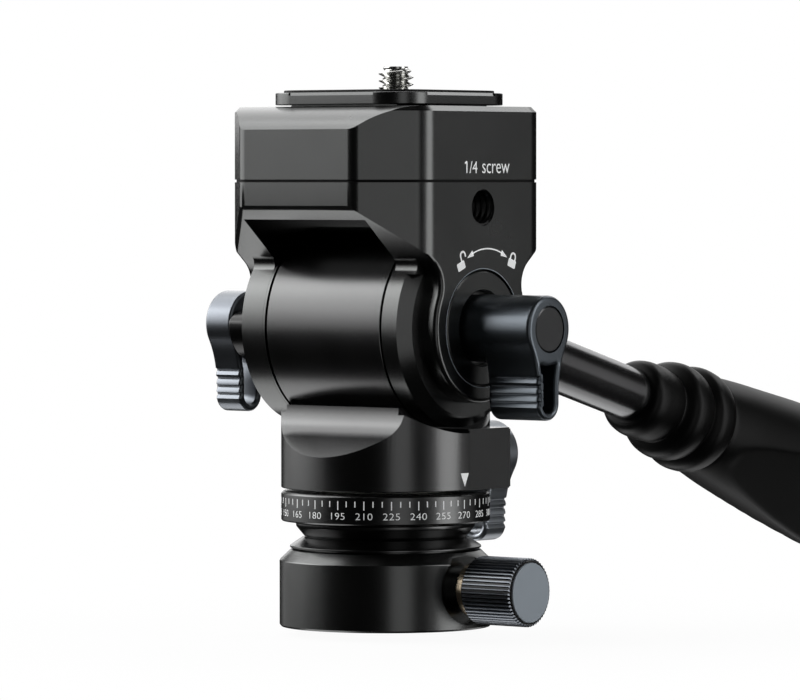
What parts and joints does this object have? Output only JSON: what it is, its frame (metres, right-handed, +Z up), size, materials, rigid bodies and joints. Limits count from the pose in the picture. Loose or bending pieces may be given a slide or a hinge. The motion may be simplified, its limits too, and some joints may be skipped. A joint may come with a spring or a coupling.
{
  "type": "fluid video head",
  "caption": "Compact fluid-drag video head: clamp base, panning section with scale, tilting yoke with quick-release plate, slotted lock levers and a pan handle.",
  "frame": {"origin": "centre of the base cup's underside, on the pan axis, where the tripod's screw enters", "axes": "+Z up along the pan axis, +Y back towards the operator along the handle, +X to the side with the tilt lock lever, along the tilt axis"},
  "size_m": [0.0758, 0.189, 0.1026],
  "materials": {
    "black_anodised": "black anodised, fine satin",
    "dark_lever": "dark blue-grey, semi-gloss",
    "silver_lever": "silver-grey, semi-gloss",
    "grey_cap": "mid-grey, satin",
    "steel": "bright steel",
    "brass": "pale brass, semi-gloss",
    "bronze": "sintered bronze, satin",
    "pale_polymer": "natural low-friction polymer",
    "pad_rubber": "matte black rubber",
    "dark_chrome": "glossy dark chrome",
    "grip_rubber": "matte black moulded rubber"
  },
  "bodies": {
    "base": {"base_cup": "black_anodised", "tripod_insert": "steel", "guide_screw_1": "steel", "guide_screw_2": "steel", "clamp_washer": "brass"},
    "base_knob": {"clamp_knob": "dark_lever", "clamp_knob_cap": "grey_cap", "clamp_screw": "steel"},
    "foot": {"foot_collar": "black_anodised", "scale_ring": "black_anodised", "pan_thrust_washer": "pale_polymer", "spindle_washer": "steel", "spindle_nut": "steel"},
    "pan": {"pan_housing": "black_anodised", "pan_bush": "bronze", "pan_brake_shoe": "brass", "axle_bush_right": "bronze", "axle_bush_left": "bronze", "drag_stator_1": "pale_polymer", "drag_stator_2": "pale_polymer", "drag_stator_3": "pale_polymer", "drag_stator_4": "pale_polymer"},
    "pan_lever": {"pan_lock_lever": "dark_lever", "pan_lock_lever_cap": "grey_cap", "pan_lock_screw": "steel"},
    "tilt": {"tilt_yoke": "black_anodised", "tilt_axle": "steel", "arm_cover": "black_anodised", "drag_hub": "black_anodised", "drag_rotor_1": "steel", "drag_rotor_2": "steel", "drag_rotor_3": "steel", "clamp_body": "black_anodised", "body_screw_1": "steel", "body_screw_2": "steel", "body_screw_3": "steel", "body_screw_4": "steel", "release_plate": "black_anodised", "plate_pad": "pad_rubber", "handle_stud": "steel", "handle_tube": "dark_chrome", "handle_grip": "grip_rubber"},
    "tilt_lever": {"tilt_lock_lever": "dark_lever", "tilt_lock_lever_cap": "grey_cap", "tilt_lock_screw": "steel"},
    "drag_lever": {"drag_lever": "silver_lever", "drag_lever_cap": "grey_cap", "drag_screw": "steel"},
    "jaw": {"clamp_jaw": "steel"},
    "release_knob": {"release_knob": "dark_lever", "release_knob_cap": "grey_cap", "release_screw": "steel"},
    "camera_screw": {"camera_screw": "steel"}
  },
  "joints": [
    {"name": "base_swivel", "type": "hinge", "parent": "base", "child": "foot", "pos_m": [0, 0, 0.0074], "axis": [0, 0, 1], "continuous": true},
    {"name": "clamp_knob_turn", "type": "hinge", "parent": "base", "child": "base_knob", "pos_m": [0.0218, 0, 0.0074], "axis": [1, 0, 0], "range_deg": [0, 360]},
    {"name": "pan_turn", "type": "hinge", "parent": "foot", "child": "pan", "pos_m": [0, 0, 0.0304], "axis": [0, 0, 1], "continuous": true},
    {"name": "pan_lock_turn", "type": "hinge", "parent": "pan", "child": "pan_lever", "pos_m": [0, 0.0257, 0.0304], "axis": [0, 1, 0], "range_deg": [-45, 60]},
    {"name": "tilt_turn", "type": "hinge", "parent": "pan", "child": "tilt", "pos_m": [0, 0, 0.0545], "axis": [1, 0, 0], "range_deg": [-20, 88]},
    {"name": "tilt_lock_turn", "type": "hinge", "parent": "tilt", "child": "tilt_lever", "pos_m": [0.021, 0, 0.0545], "axis": [1, 0, 0], "range_deg": [-30, 60]},
    {"name": "drag_adjust_turn", "type": "hinge", "parent": "tilt", "child": "drag_lever", "pos_m": [-0.0317, 0, 0.0545], "axis": [1, 0, 0], "range_deg": [-60, 60]},
    {"name": "release_knob_turn", "type": "hinge", "parent": "tilt", "child": "release_knob", "pos_m": [-0.0228, 0, 0.0883], "axis": [-1, 0, 0], "range_deg": [0, 360]},
    {"name": "jaw_slide", "type": "slide", "parent": "tilt", "child": "jaw", "axis": [-1, 0, 0], "range_m": [0, 0.002]},
    {"name": "camera_screw_turn", "type": "hinge", "parent": "tilt", "child": "camera_screw", "pos_m": [0.00085, 0.002, 0.0908], "axis": [0, 0, 1], "continuous": true}
  ],
  "couplings": [
    {"joint": "release_knob_turn", "follows": "jaw_slide", "rad_per_m": 3141}
  ]
}
